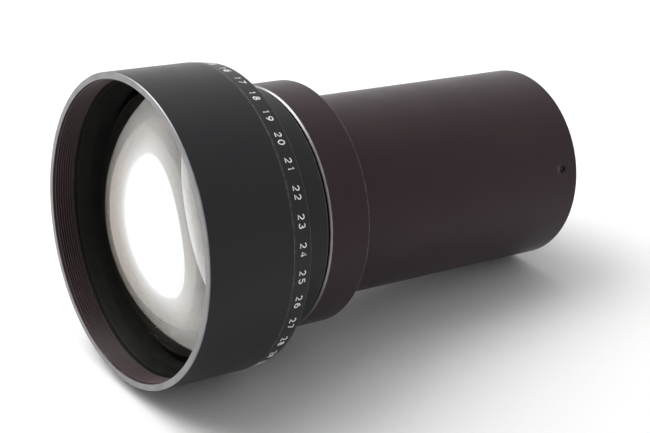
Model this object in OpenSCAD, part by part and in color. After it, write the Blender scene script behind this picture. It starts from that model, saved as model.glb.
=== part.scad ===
// Large fast projection lens for a film projector: a wide hood and front glass,
// a marked band, a neck, a seating collar and a plain barrel that a holder clamps.
// The optical axis is Y, the front faces -Y, and the origin is on the axis
// at the collar's rear shoulder. Inside is a six element symmetrical lens.

/* [Barrel] */
// Outside diameter of the barrel, the part that the holder clamps
barrel_d = 80; // [70:0.5:92]
// Length of the barrel behind the seating shoulder
barrel_len = 115.75; // [108:0.25:160]
// Wall of the barrel tube
barrel_wall = 3; // [2:0.25:4]
// Chamfer on the barrel's rear edges
barrel_chamfer = 0.4; // [0.1:0.1:1]
// Length of the flange that the collar traps
flange_len = 5; // [3:0.5:7]
// Step from the barrel out to the land that the collar sits on
land_step = 0.5; // [0.2:0.1:1]
// How far the land stops short of the collar's rear shoulder
land_recess = 0.5; // [0.3:0.1:1]
// Width of the undercut behind the collar, so that a holder seats flat
undercut_w = 1.2; // [0.5:0.1:3]
// Depth of the undercut
undercut_depth = 0.8; // [0.3:0.1:1.2]

/* [Seating collar] */
// Step from the barrel out to the collar
collar_step = 8; // [6:0.25:14]
// Length of the collar
collar_len = 17.85; // [15:0.05:30]
// Thickness of the collar's rear lip, which seats on the holder
collar_lip = 4; // [2:0.25:6]
// Wall of the collar round its thread
collar_wall = 3.2; // [2:0.1:4.5]
// Chamfer on the collar's front edge
collar_chamfer = 0.6; // [0.2:0.1:1.5]
// Chamfer on the collar's rear edge
collar_rear_chamfer = 0.25; // [0.1:0.05:0.6]
// Width of the parting groove between the neck and the collar
groove_w = 1.05; // [0.5:0.05:3]
// Depth of the parting groove
groove_depth = 1.5; // [0.5:0.1:2.5]

/* [Neck] */
// Length of the neck behind the marked band
neck_len = 15.2; // [10:0.1:24]
// How far the neck is inside the collar's outside
neck_inset = 0.3; // [0:0.05:2]
// Wall of the neck round the second glass
neck_wall = 1.3; // [1:0.1:3]
// Wall of the threaded spigot round the third glass
spigot_wall = 3.3; // [2:0.1:5]
// Pitch of the spigot's thread
spigot_pitch = 1.5; // [0.75:0.25:2]
// Depth of the spigot's thread
spigot_thread_depth = 0.6; // [0.2:0.05:0.9]
// Running gap of the spigot in the collar
thread_gap = 0.3; // [0.2:0.05:0.6]

/* [Marked band] */
// Length of the band that carries the markings
band_len = 7.4; // [5:0.1:15]
// How far the band is inside the hood's outside
band_inset = 0.1; // [0:0.05:1]
// Taper of the band, front edge radius less rear edge radius
band_taper = 0.8; // [0:0.1:2]
// Wall of the band
band_wall = 4.1; // [2:0.1:6]
// Thickness of the band's back wall
band_back = 2; // [1:0.1:3]

/* [Hood] */
// Step from the neck out to the hood
hood_step = 11.3; // [9:0.1:20]
// Length of the hood
hood_len = 35.5; // [34:0.5:60]
// Wall of the hood at its thread
hood_wall = 3.05; // [2:0.05:5]
// Wall of the hood at its rear socket
hood_socket_wall = 3.5; // [2:0.1:4.5]
// Length of the front cell inside the hood's socket
hood_socket_len = 5.5; // [3:0.5:8]
// Bevel inside the hood's rim
rim_bevel = 0.55; // [0.2:0.05:1]
// Chamfer on the hood's outer edges
hood_chamfer = 0.3; // [0.1:0.05:1]
// Width of the relief groove behind the hood's thread
relief_w = 0.8; // [0.4:0.1:2]
// Depth of the relief groove behind the hood's thread
relief_depth = 0.65; // [0.3:0.05:1.2]
// Thickness of the lip that the front glass sits on
hood_lip = 2; // [1:0.25:3]
// Step from the glass seat in to the lip
hood_lip_step = 8.4; // [7.5:0.1:9.2]
// Step from the thread in to the glass seat
glass_seat_step = 0.55; // [0.3:0.05:1.5]

/* [Glass of the front unit] */
// Front radius of curvature of the front element
front_r1 = 84.3; // [80:0.1:110]
// Rear radius of curvature of the front element
front_r2 = 136.7; // [120:0.1:200]
// Centre thickness of the front element
front_t = 17.55; // [16:0.05:20]
// Gap between the first two elements on the axis
front_air = 2.9; // [2:0.1:3.5]
// Front radius of curvature of the front crown element
crown_front_r = 98; // [75:1:140]
// Centre thickness of the front crown element
crown_front_t = 18; // [16:0.1:22]
// Rear radius of curvature of the front flint element
flint_front_r = 48; // [42:0.5:54]
// Centre thickness of the front flint element
flint_front_t = 7; // [4:0.1:9]
// Depth of the front flint element's hollow
flint_front_hollow = 15.15; // [10:0.05:16]

/* [Glass of the rear unit] */
// Front radius of curvature of the rear flint element
flint_rear_r = 52.2; // [46:0.1:80]
// Centre thickness of the rear flint element
flint_rear_t = 7; // [4:0.1:9]
// Rear radius of curvature of the rear crown element
crown_rear_r = 69.8; // [58:0.1:100]
// Centre thickness of the rear crown element
crown_rear_t = 20.2; // [16:0.1:25]
// Gap between the last two elements on the axis
rear_air = 0.9; // [0.3:0.1:2]
// Front radius of curvature of the rear element
rear_r1 = 326.4; // [200:1:600]
// Rear radius of curvature of the rear element
rear_r2 = 146.2; // [100:1:300]
// Centre thickness of the rear element
rear_t = 12.9; // [10:0.1:18]
// Width of the rim that holds each rear glass
rear_land = 1.5; // [1:0.1:3]

/* [Retaining rings and stop] */
// Length of the front retaining ring
front_ring_len = 11.3; // [9:0.1:12]
// Length of the flared mouth of the front retaining ring
front_ring_mouth_len = 5.4; // [3:0.1:8]
// Width of the front retaining ring at its glass
front_ring_w = 2; // [1:0.1:3]
// Width of the front retaining ring at its mouth
front_ring_mouth_w = 0.7; // [0.4:0.1:0.9]
// Length of the doublet retaining ring
doublet_ring_len = 3.2; // [2:0.1:3.6]
// Step from the second glass bore out to the doublet ring's thread
doublet_ring_step = 3.2; // [2:0.1:4.5]
// How far the doublet ring reaches in over the second glass
doublet_ring_hold = 0.6; // [0.3:0.1:1.5]
// Width of the front baffle
front_baffle_w = 6.2; // [4:0.1:8]
// Distance from the seating shoulder back to the stop lip
stop_offset = 3; // [0:0.5:8]
// Thickness of the stop lip in the barrel
stop_lip = 2.5; // [1.5:0.5:5]
// Height of the stop lip in the barrel
stop_lip_h = 2.5; // [1.5:0.1:3.5]
// Thickness of the aperture stop plate
stop_plate_t = 1.5; // [0.8:0.1:3]
// Width of the aperture stop plate
stop_plate_w = 5; // [4:0.1:8]
// Length of the stop's retaining ring
stop_ring_len = 2.5; // [1.5:0.5:4]
// Wall of the rear cell
rear_cell_wall = 2.35; // [1.5:0.05:3.5]
// Length of the rear cell in front of its first glass
rear_cell_nose = 5.75; // [3:0.25:8]
// Length of the rear retaining ring
rear_ring_len = 4.3; // [3:0.1:6]
// Length of the ring that locks the rear cell
lock_ring_len = 4; // [3:0.5:6]
// Width of the spanner slots in the rings
slot_w = 3; // [1.5:0.5:4]
// Depth of the spanner slots in the rings
slot_depth = 1.2; // [0.6:0.1:2]
// Angle of the front ring's spanner slots from the top
front_slot_angle = 105; // [0:5:180]
// Angle of the lock ring's spanner slots from the top
lock_slot_angle = 90; // [0:5:180]

/* [Rear baffle] */
// Length of the baffle ring in the barrel's rear end
baffle_len = 9; // [7:0.5:14]
// Distance from the barrel's rear end to the baffle ring
baffle_inset = 4.2; // [1:0.1:8]
// Wall of the baffle ring
baffle_wall = 2.4; // [1.5:0.1:3]
// Number of screws that hold the baffle ring
screw_count = 3; // [1:1:6]
// Radius of the tapped holes in the barrel
screw_hole_r = 1.5; // [1:0.1:2]
// Angle of the first screw from the top
screw_angle = 72.7; // [0:0.1:120]
// How far the screws sit below the barrel's surface
screw_sink = 0.7; // [0.3:0.1:1.5]
// Width of the screws' slots
screw_slot_w = 0.5; // [0.3:0.1:0.8]

/* [Hidden] */

// Gap of a close fit between two metal pieces, on the radius
fit_gap = 0.05;
// Gap round the edge of each glass, on the radius
glass_gap = 0.1;
// Gap between a ring's edge and the curved glass that it holds
seat_gap = 0.05;
// Gap between the spigot's end and the barrel's flange
spigot_end_gap = 0.4;
// How far a cut runs past what it cuts
over = 1;
// Facets round a turned piece and round a glass
turned_facets = 180;
glass_facets = 240;
screw_facets = 48;

// Colours
satin_black = [0.11, 0.11, 0.12];
deep_black = [0.05, 0.05, 0.055];
brown_black = [0.16, 0.13, 0.135];
glass_tint = [0.72, 0.8, 0.82, 0.45];
screw_grey = [0.3, 0.3, 0.32];

// Depth of a spherical surface at a radius from its axis
function sag(curve_r, r) = curve_r - sqrt(curve_r * curve_r - r * r);

// Radii of the metal pieces, from the barrel outward
barrel_r = barrel_d / 2;
bore_r = barrel_r - barrel_wall;
land_r = barrel_r + land_step;
collar_r = barrel_r + collar_step;
collar_bore_r = collar_r - collar_wall;
flange_r = collar_bore_r - fit_gap;
spigot_r = collar_bore_r - thread_gap;
shim_r = collar_r - groove_depth;
neck_r = collar_r - neck_inset;
hood_r = neck_r + hood_step;
band_front_r = hood_r - band_inset;
band_rear_r = band_front_r - band_taper;
band_seat_r = band_rear_r - band_wall;
hood_thread_r = hood_r - hood_wall;
hood_seat_r = hood_thread_r - glass_seat_step;
hood_lip_r = hood_seat_r - hood_lip_step;
hood_socket_r = hood_r - hood_socket_wall;

// Radii of the glasses and of the bores that hold them
front_glass_r = hood_seat_r - glass_gap;
front_clear_r = hood_thread_r - fit_gap - front_ring_w;
crown_bore_r = neck_r - neck_wall;
crown_front_glass_r = crown_bore_r - glass_gap;
crown_front_clear_r = crown_front_glass_r - doublet_ring_hold;
doublet_ring_r = crown_bore_r + doublet_ring_step;
flint_bore_r = spigot_r - spigot_wall;
flint_front_glass_r = flint_bore_r - glass_gap;
front_baffle_r = flint_bore_r - front_baffle_w;
rear_cell_r = bore_r - fit_gap;
rear_bore_r = rear_cell_r - rear_cell_wall;
rear_glass_r = rear_bore_r - glass_gap;
rear_clear_r = rear_glass_r - rear_land;
stop_lip_r = bore_r - stop_lip_h;
stop_r = bore_r - stop_plate_w;
baffle_r = bore_r - baffle_wall;

// Places along the axis, as depths behind the front rim
hood_end = hood_len;
band_end = hood_end + band_len;
neck_end = band_end + neck_len;
collar_front = neck_end + groove_w;
shoulder = collar_front + collar_len;
land_end = shoulder - land_recess;
undercut_end = shoulder + undercut_w;
rear_end = shoulder + barrel_len;
flange_end = shoulder - collar_lip;
flange_front = flange_end - flange_len;
spigot_end = flange_front - spigot_end_gap;

// Front element, held between the hood's lip and its ring
cell_face = hood_end - hood_socket_len;
lip_face = cell_face - hood_lip;
front_back = lip_face - sag(front_r2, hood_lip_r);
front_vertex = front_back - front_t;
front_ring_end = front_vertex + sag(front_r1, front_clear_r) - seat_gap;
front_ring_face = front_ring_end - front_ring_len;
relief_face = front_ring_face - relief_w;

// Front doublet, on the shoulder of the front cell
crown_front_vertex = front_back + front_air;
doublet_plane = crown_front_vertex + crown_front_t;
doublet_ring_end = crown_front_vertex + sag(crown_front_r, crown_front_clear_r) - seat_gap;
doublet_ring_face = doublet_ring_end - doublet_ring_len;
flint_front_vertex = doublet_plane + flint_front_t;
flint_front_rim = flint_front_vertex + flint_front_hollow;

// Stop and rear cell in the barrel
stop_lip_face = shoulder + stop_offset;
stop_plate_face = stop_lip_face - stop_plate_t;
stop_ring_face = stop_plate_face - stop_ring_len;
rear_cell_face = stop_lip_face + stop_lip;
rear_seat = rear_cell_face + rear_cell_nose;
flint_rear_vertex = rear_seat + sag(flint_rear_r, rear_clear_r);
rear_plane = flint_rear_vertex + flint_rear_t;
crown_rear_vertex = rear_plane + crown_rear_t;
spacer_face = crown_rear_vertex - sag(crown_rear_r, rear_clear_r) + seat_gap;
rear_vertex = crown_rear_vertex + rear_air;
spacer_end = rear_vertex + sag(rear_r1, rear_clear_r) - seat_gap;
rear_back = rear_vertex + rear_t;
rear_ring_face = rear_back - sag(rear_r2, rear_clear_r) + seat_gap;
rear_cell_end = rear_ring_face + rear_ring_len;
lock_ring_end = rear_cell_end + lock_ring_len;
baffle_end = rear_end - baffle_inset;
baffle_face = baffle_end - baffle_len;
screw_place = baffle_face + baffle_len / 2;

// Turns the axis of the lens onto Y, with the shoulder at the origin
module on_axis() {
    translate([0, -shoulder, 0]) rotate([-90, 0, 0]) children();
}

// A turned piece from an outline of radius and depth
module turned(outline) {
    on_axis() rotate_extrude($fn = turned_facets) polygon(outline);
}

// Points a radial feature at an angle from the top, clockwise from the rear
module at_turn(angle) {
    rotate([0, 0, angle - 90]) children();
}

// A solid ball whose front pole is at a depth
module ball_behind(depth, curve_r) {
    translate([0, 0, depth + curve_r]) sphere(r = curve_r, $fn = glass_facets);
}

// A solid ball whose rear pole is at a depth
module ball_before(depth, curve_r) {
    translate([0, 0, depth - curve_r]) sphere(r = curve_r, $fn = glass_facets);
}

// A solid disc between two depths
module disc(from, to, r) {
    translate([0, 0, from]) cylinder(r = r, h = to - from, $fn = glass_facets);
}

// Two slots across a ring for a pin spanner
module spanner_slots(from, to, r, angle) {
    at_turn(angle) translate([-r, -slot_w / 2, from]) cube([2 * r, slot_w, to - from]);
}

// Crests and roots of a thread, down the outside of a spigot
function thread_outline(r, depth, from, to, pitch) =
    let (turns = floor((to - from) / pitch), flat = pitch / 4)
    [for (i = [0:turns - 1], step = [0:3])
        let (s = from + i * pitch + (step + 1) * flat)
        [step == 0 || step == 3 ? r : r - depth, s]];

module hood() {
    color(satin_black)
    turned([
        [hood_thread_r + rim_bevel, 0],
        [hood_r - hood_chamfer, 0],
        [hood_r, hood_chamfer],
        [hood_r, hood_end - hood_chamfer],
        [hood_r - hood_chamfer, hood_end],
        [hood_socket_r, hood_end],
        [hood_socket_r, cell_face],
        [hood_lip_r, cell_face],
        [hood_lip_r, lip_face],
        [hood_seat_r, lip_face],
        [hood_seat_r, front_ring_end],
        [hood_thread_r, front_ring_end],
        [hood_thread_r, front_ring_face],
        [hood_thread_r + relief_depth, front_ring_face],
        [hood_thread_r + relief_depth, relief_face],
        [hood_thread_r, relief_face],
        [hood_thread_r, rim_bevel]
    ]);
}

module front_retaining_ring() {
    ring_r = hood_thread_r - fit_gap;
    slot_floor = front_ring_face + slot_depth;
    color(deep_black)
    difference() {
        turned([
            [ring_r - front_ring_mouth_w, front_ring_face],
            [ring_r, front_ring_face],
            [ring_r, front_ring_end],
            [front_clear_r, front_ring_end],
            [front_clear_r, front_ring_face + front_ring_mouth_len]
        ]);
        on_axis() spanner_slots(front_ring_face - over, slot_floor, ring_r + over, front_slot_angle);
    }
}

module front_element() {
    color(glass_tint)
    on_axis() difference() {
        intersection() {
            ball_behind(front_vertex, front_r1);
            disc(front_vertex, lip_face, front_glass_r);
        }
        ball_behind(front_back, front_r2);
    }
}

module marking_ring() {
    color(deep_black)
    turned([
        [band_seat_r, hood_end],
        [band_front_r, hood_end],
        [band_rear_r, band_end],
        [neck_r + fit_gap, band_end],
        [neck_r + fit_gap, band_end - band_back],
        [band_seat_r, band_end - band_back]
    ]);
}

module front_cell() {
    socket_r = hood_socket_r - fit_gap;
    seat_r = band_seat_r - fit_gap;
    color(satin_black)
    turned(concat(
        [
            [doublet_ring_r, cell_face],
            [socket_r, cell_face],
            [socket_r, hood_end],
            [seat_r, hood_end],
            [seat_r, band_end - band_back],
            [neck_r, band_end - band_back],
            [neck_r, neck_end],
            [spigot_r, neck_end]
        ],
        thread_outline(spigot_r, spigot_thread_depth, neck_end, spigot_end, spigot_pitch),
        [
            [spigot_r, spigot_end],
            [flint_bore_r, spigot_end],
            [flint_bore_r, doublet_plane],
            [crown_bore_r, doublet_plane],
            [crown_bore_r, doublet_ring_end],
            [doublet_ring_r, doublet_ring_end]
        ]
    ));
}

module doublet_retaining_ring() {
    ring_r = doublet_ring_r - fit_gap;
    color(deep_black)
    turned([
        [crown_bore_r, doublet_ring_face],
        [ring_r, doublet_ring_face],
        [ring_r, doublet_ring_end],
        [crown_front_clear_r, doublet_ring_end]
    ]);
}

module crown_element_front() {
    color(glass_tint)
    on_axis() intersection() {
        ball_behind(crown_front_vertex, crown_front_r);
        disc(crown_front_vertex, doublet_plane, crown_front_glass_r);
    }
}

module flint_element_front() {
    color(glass_tint)
    on_axis() difference() {
        disc(doublet_plane, flint_front_rim, flint_front_glass_r);
        ball_behind(flint_front_vertex, flint_front_r);
    }
}

module front_baffle() {
    baffle_ring_r = flint_bore_r - fit_gap;
    color(deep_black)
    turned([
        [front_baffle_r, flint_front_rim],
        [baffle_ring_r, flint_front_rim],
        [baffle_ring_r, spigot_end],
        [(front_baffle_r + baffle_ring_r) / 2, spigot_end]
    ]);
}

module seating_shim() {
    color(deep_black)
    turned([
        [collar_bore_r, neck_end],
        [shim_r, neck_end],
        [shim_r, collar_front],
        [collar_bore_r, collar_front]
    ]);
}

module seating_collar() {
    color(brown_black)
    turned([
        [collar_bore_r, collar_front],
        [collar_r - collar_chamfer, collar_front],
        [collar_r, collar_front + collar_chamfer],
        [collar_r, shoulder - collar_rear_chamfer],
        [collar_r - collar_rear_chamfer, shoulder],
        [land_r + fit_gap, shoulder],
        [land_r + fit_gap, flange_end],
        [collar_bore_r, flange_end]
    ]);
}

module barrel_tube() {
    color(brown_black)
    difference() {
        turned([
            [bore_r, flange_front],
            [flange_r, flange_front],
            [flange_r, flange_end],
            [land_r, flange_end],
            [land_r, land_end],
            [barrel_r - undercut_depth, land_end],
            [barrel_r - undercut_depth, undercut_end],
            [barrel_r, undercut_end],
            [barrel_r, rear_end - barrel_chamfer],
            [barrel_r - barrel_chamfer, rear_end],
            [bore_r + barrel_chamfer, rear_end],
            [bore_r, rear_end - barrel_chamfer],
            [bore_r, rear_cell_face],
            [stop_lip_r, rear_cell_face],
            [stop_lip_r, stop_lip_face],
            [bore_r, stop_lip_face]
        ]);
        on_axis() screw_holes(bore_r - over, barrel_r + over);
    }
}

// The tapped holes for the baffle ring's screws, between two radii
module screw_holes(from_r, to_r) {
    for (i = [0:screw_count - 1])
        at_turn(screw_angle + i * 360 / screw_count)
            translate([from_r, 0, screw_place])
                rotate([0, 90, 0])
                    cylinder(r = screw_hole_r, h = to_r - from_r, $fn = screw_facets);
}

module stop_retaining_ring() {
    color(deep_black)
    turned([
        [stop_lip_r, stop_ring_face],
        [rear_cell_r, stop_ring_face],
        [rear_cell_r, stop_plate_face],
        [stop_lip_r, stop_plate_face]
    ]);
}

module aperture_stop() {
    edge = stop_plate_t / 3;
    color(deep_black)
    turned([
        [stop_r + stop_plate_t - edge, stop_plate_face],
        [rear_cell_r, stop_plate_face],
        [rear_cell_r, stop_lip_face],
        [stop_r, stop_lip_face],
        [stop_r, stop_lip_face - edge]
    ]);
}

module rear_cell() {
    color(deep_black)
    turned([
        [rear_clear_r, rear_cell_face],
        [rear_cell_r, rear_cell_face],
        [rear_cell_r, rear_cell_end],
        [rear_bore_r, rear_cell_end],
        [rear_bore_r, rear_seat],
        [rear_clear_r, rear_seat]
    ]);
}

module flint_element_rear() {
    color(glass_tint)
    on_axis() difference() {
        disc(rear_seat, rear_plane, rear_glass_r);
        ball_before(flint_rear_vertex, flint_rear_r);
    }
}

module crown_element_rear() {
    color(glass_tint)
    on_axis() intersection() {
        ball_before(crown_rear_vertex, crown_rear_r);
        disc(rear_plane, crown_rear_vertex, rear_glass_r);
    }
}

module rear_spacer() {
    color(deep_black)
    turned([
        [rear_clear_r, spacer_face],
        [rear_glass_r, spacer_face],
        [rear_glass_r, spacer_end],
        [rear_clear_r, spacer_end]
    ]);
}

module rear_element() {
    color(glass_tint)
    on_axis() intersection() {
        ball_behind(rear_vertex, rear_r1);
        ball_before(rear_back, rear_r2);
        disc(rear_vertex, rear_back, rear_glass_r);
    }
}

module rear_retaining_ring() {
    ring_r = rear_bore_r - fit_gap;
    color(deep_black)
    turned([
        [rear_clear_r, rear_ring_face],
        [ring_r, rear_ring_face],
        [ring_r, rear_cell_end],
        [rear_clear_r + rear_land / 2, rear_cell_end]
    ]);
}

module rear_lock_ring() {
    slot_floor = lock_ring_end - slot_depth;
    color(deep_black)
    difference() {
        turned([
            [rear_glass_r, rear_cell_end],
            [rear_cell_r, rear_cell_end],
            [rear_cell_r, lock_ring_end],
            [rear_glass_r, lock_ring_end]
        ]);
        on_axis() spanner_slots(slot_floor, lock_ring_end + over, rear_cell_r + over, lock_slot_angle);
    }
}

module rear_baffle_ring() {
    ring_r = bore_r - fit_gap;
    color(deep_black)
    difference() {
        turned([
            [baffle_r, baffle_face],
            [ring_r, baffle_face],
            [ring_r, baffle_end],
            [baffle_r, baffle_end]
        ]);
        on_axis() screw_holes(baffle_r - over, ring_r + over);
    }
}

module baffle_screws() {
    head_r = barrel_r - screw_sink;
    tip_r = baffle_r + fit_gap;
    color(screw_grey)
    on_axis()
    for (i = [0:screw_count - 1])
        at_turn(screw_angle + i * 360 / screw_count)
            translate([tip_r, 0, screw_place])
                rotate([0, 90, 0])
                    difference() {
                        cylinder(r = screw_hole_r - fit_gap, h = head_r - tip_r, $fn = screw_facets);
                        translate([-screw_hole_r, -screw_slot_w / 2, head_r - tip_r - screw_sink])
                            cube([2 * screw_hole_r, screw_slot_w, 2 * screw_sink]);
                    }
}

hood();
front_retaining_ring();
front_element();
marking_ring();
front_cell();
doublet_retaining_ring();
crown_element_front();
flint_element_front();
front_baffle();
seating_shim();
seating_collar();
barrel_tube();
stop_retaining_ring();
aperture_stop();
rear_cell();
flint_element_rear();
crown_element_rear();
rear_spacer();
rear_element();
rear_retaining_ring();
rear_lock_ring();
rear_baffle_ring();
baffle_screws();
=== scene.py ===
"""Looks of a large projection lens: turned and anodised metal, six polished glasses and a numbered band."""

import math

import bpy
import numpy as np
from mathutils import Matrix, Vector


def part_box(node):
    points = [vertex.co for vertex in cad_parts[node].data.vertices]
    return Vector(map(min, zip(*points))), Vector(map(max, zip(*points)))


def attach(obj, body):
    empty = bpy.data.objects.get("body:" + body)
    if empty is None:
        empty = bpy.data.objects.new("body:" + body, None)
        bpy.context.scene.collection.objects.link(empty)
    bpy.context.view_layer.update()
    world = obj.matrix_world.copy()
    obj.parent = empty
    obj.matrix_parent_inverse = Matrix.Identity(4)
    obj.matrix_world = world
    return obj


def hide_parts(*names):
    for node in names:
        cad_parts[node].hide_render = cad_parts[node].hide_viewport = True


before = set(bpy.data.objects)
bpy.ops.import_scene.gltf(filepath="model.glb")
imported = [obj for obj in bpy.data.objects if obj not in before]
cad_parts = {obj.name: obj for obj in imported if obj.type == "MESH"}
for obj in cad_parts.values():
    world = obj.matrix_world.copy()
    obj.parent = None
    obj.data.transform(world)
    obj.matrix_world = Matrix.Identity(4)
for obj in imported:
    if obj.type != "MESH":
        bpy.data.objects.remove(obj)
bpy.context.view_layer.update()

# Lengths below are in millimetres, and depths are measured back from the front rim along the axis, +Y
MM = 0.001
RIM_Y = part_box("hood")[0].y

# Steps round a turned piece and round a glass, and rings from a glass's pole to its edge
TURN_STEPS = 288
GLASS_STEPS = 256
GLASS_RINGS = 64

# Small round on every turned edge, and how far beyond it the wear fades out
EDGE_ROUND = 0.12
EDGE_STEPS = 3
WEAR_REACH = 0.3

# Outside radii
HOOD_R = 59.0
BAND_FRONT_R = 58.9
BAND_REAR_R = 58.1
NECK_R = 47.7
COLLAR_R = 48.0
BARREL_R = 40.0
BARREL_BORE_R = 37.0
FLANGE_R = 44.75
LAND_R = 40.5
LAND_RECESS = 0.5
UNDERCUT_W = 1.2
UNDERCUT_DEPTH = 0.8

# Chamfers
HOOD_CHAMFER = 0.3
COLLAR_CHAMFER = 0.6
COLLAR_REAR_CHAMFER = 0.25
BARREL_CHAMFER = 0.4

# Inside of the hood
THREAD_CREST_R = 55.95
THREAD_ROOT_R = 56.5
THREAD_PITCH = 1.0
THREAD_START = 0.3
THREAD_ROOT_SHARE = 0.92
THREAD_CREST_SHARE = 0.16
THREAD_STEPS = 144
RELIEF_R = 56.6
RELIEF_W = 0.8
GLASS_SEAT_R = 55.4
HOOD_LIP_R = 47.0
HOOD_SOCKET_R = 55.5

# Running gaps between metal pieces, and outline points that count as one
FIT_GAP = 0.05
SAME_PLACE = 0.0001

# Rings and spigot of the front unit
FRONT_RING_MOUTH_R = 55.2
FRONT_RING_CLEAR_R = 53.9
FRONT_RING_MOUTH = 5.4
BAND_SEAT_R = 54.0
BAND_BACK = 2.0
CROWN_BORE_R = 46.4
CROWN_CLEAR_R = 45.7
DOUBLET_RING_R = 49.6
FLINT_BORE_R = 41.2
SPIGOT_CREST_R = 44.5
SPIGOT_ROOT_R = 43.9
SPIGOT_PITCH = 1.5
HOLLOW_BAFFLE_R = 35.0
SHIM_R = 46.5
COLLAR_BORE_R = 44.8
COLLAR_LIP = 4.0

# Glasses: radii of their edges and of their polished curves
FRONT_GLASS_R = 55.3
FRONT_CURVE = 84.3
FRONT_BACK_CURVE = 136.7
FRONT_THICKNESS = 17.55
CROWN_FRONT_R = 46.3
CROWN_FRONT_CURVE = 98.0
FLINT_FRONT_R = 41.1
FLINT_FRONT_CURVE = 48.0
FLINT_FRONT_THICKNESS = 7.0
REAR_GLASS_R = 34.5
REAR_CLEAR_R = 33.0
FLINT_REAR_CURVE = 52.2
FLINT_REAR_THICKNESS = 7.0
CROWN_REAR_CURVE = 69.8
REAR_FRONT_CURVE = 326.4
REAR_BACK_CURVE = 146.2

# Rear cell, stop and baffle
REAR_CELL_R = 36.95
REAR_BORE_R = 34.6
STOP_LIP_R = 34.5
STOP_LIP = 2.5
STOP_R = 32.0
STOP_PLATE = 1.5
BAFFLE_R = 34.6
SLOT_W = 3.0
SLOT_DEPTH = 1.2
FRONT_SLOT_ANGLE = 105.0
LOCK_SLOT_ANGLE = 90.0
SCREW_COUNT = 3
SCREW_ANGLE = 72.7
SCREW_HOLE_R = 1.5
SCREW_SINK = 0.7
SCREW_SLOT_W = 0.5
SCREW_SIDES = 40
DRILL_PAST = 1.0

# Numbers on the band
NUMBER_COUNT = 36
NUMBER_AT_TOP = 16
DIGIT_HEIGHT = 2.65
DIGIT_WIDTH_SHARE = 0.62
DIGIT_PITCH = 3.1
STROKE_R = 0.28
STROKE_SINK = 0.12

# Camera and table of the photograph, in this frame
CAMERA_PLACE = Vector((446.3, -337.1, 229.3)) * MM
CAMERA_FORWARD = Vector((-0.7234, 0.5719, -0.3866))
CAMERA_UP = Vector((-0.3670, 0.1561, 0.9171))
CAMERA_LENS = 84.88
SENSOR_WIDTH = 36.0
TABLE_POINT = Vector((0.0, -41.5, -59.0)) * MM
TABLE_NORMAL = Vector((0.0, -0.120, 0.9928)).normalized()
TABLE_SIZE = 6.0

# White of the room that lights the object, where 1 is the white that is seen
ROOM_LEVEL = 0.48

# Lamps: name, place, side in metres and power in watts
LAMPS = (
    ("back_softbox", Vector((-1.0, -0.9, 1.5)), 1.6, 32.0),
    ("top_softbox", Vector((-0.6, -0.4, 1.9)), 1.8, 16.0),
)

# Floor: its own tone, the greyer tone of painted shade that darkens it towards the camera, where that
# painted shade runs and where the floor fades into white, in metres
FLOOR_FAR_TONE = (0.95, 0.95, 0.95)
FLOOR_PAINTED_SHADE_TONE = (0.84, 0.84, 0.85)
FLOOR_SHADE_FROM = -0.02
FLOOR_SHADE_TO = 0.26
FLOOR_SHADE_SLANT = -0.15
FLOOR_WHITE_FROM = 0.45
FLOOR_WHITE_TO = 1.1

# Shine of the dyed metal, where 0.5 is that of clear lacquer
SATIN_SHINE = 0.22
INNER_SHINE = 0.15

# Spans of a noise that are stretched over a colour and over a roughness
PATCH_SPAN = (0.35, 0.65)
NOISE_SPAN = (0.3, 0.7)

# Anodising: how far handling and turning change its roughness, and its dust
HANDLED = 0.035
TURNED = 0.025
SPECK_SPACING = 4.2
DUST_COLOUR = (0.22, 0.21, 0.2)
PLAIN_TINT = (1.0, 1.0, 1.0, 1.0)

# Glass: refractive indices, smear and coating
FRONT_INDEX = 1.706
INNER_INDEX = 1.62
INNER_SMEAR = 0.012
COATING_NM = 105.0
COATING_INDEX = 1.38


def extent(node):
    """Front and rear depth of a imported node."""
    low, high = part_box(node)
    return (low.y - RIM_Y) / MM, (high.y - RIM_Y) / MM


def sag(curve, r):
    """Depth of a polished curve at a radius from its pole."""
    return curve - math.sqrt(curve * curve - r * r)


def on_axis(r, depth, angle=0.0):
    """Point at a radius, a depth and an angle in degrees from the top towards +X."""
    turn = math.radians(angle)
    return Vector((r * math.sin(turn), RIM_Y / MM + depth, r * math.cos(turn))) * MM


def soften(corners):
    """Rounds every corner of a closed outline of (radius, depth, finish), with its wear beside it."""
    points = []
    for i, (r, depth, finish) in enumerate(corners):
        corner = Vector((r, depth))
        before = Vector(corners[i - 1][:2]) - corner
        after = Vector(corners[(i + 1) % len(corners)][:2]) - corner
        if before.angle(after) > math.radians(179):
            points.append((r, depth, finish, 0.0))
            continue
        cut = min(EDGE_ROUND, 0.3 * before.length, 0.3 * after.length)
        reach = cut + WEAR_REACH
        start, end = corner + before.normalized() * cut, corner + after.normalized() * cut
        entering = corners[i - 1][2]
        if reach < 0.5 * before.length:
            points.append((*(corner + before.normalized() * reach), entering, 0.0))
        for step in range(EDGE_STEPS + 1):
            t = step / EDGE_STEPS
            place = start * (1 - t) ** 2 + corner * 2 * t * (1 - t) + end * t * t
            points.append((*place, finish if t > 0.5 else entering, 1.0))
        if reach < 0.5 * after.length:
            points.append((*(corner + after.normalized() * reach), finish, 0.0))
    return points


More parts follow.
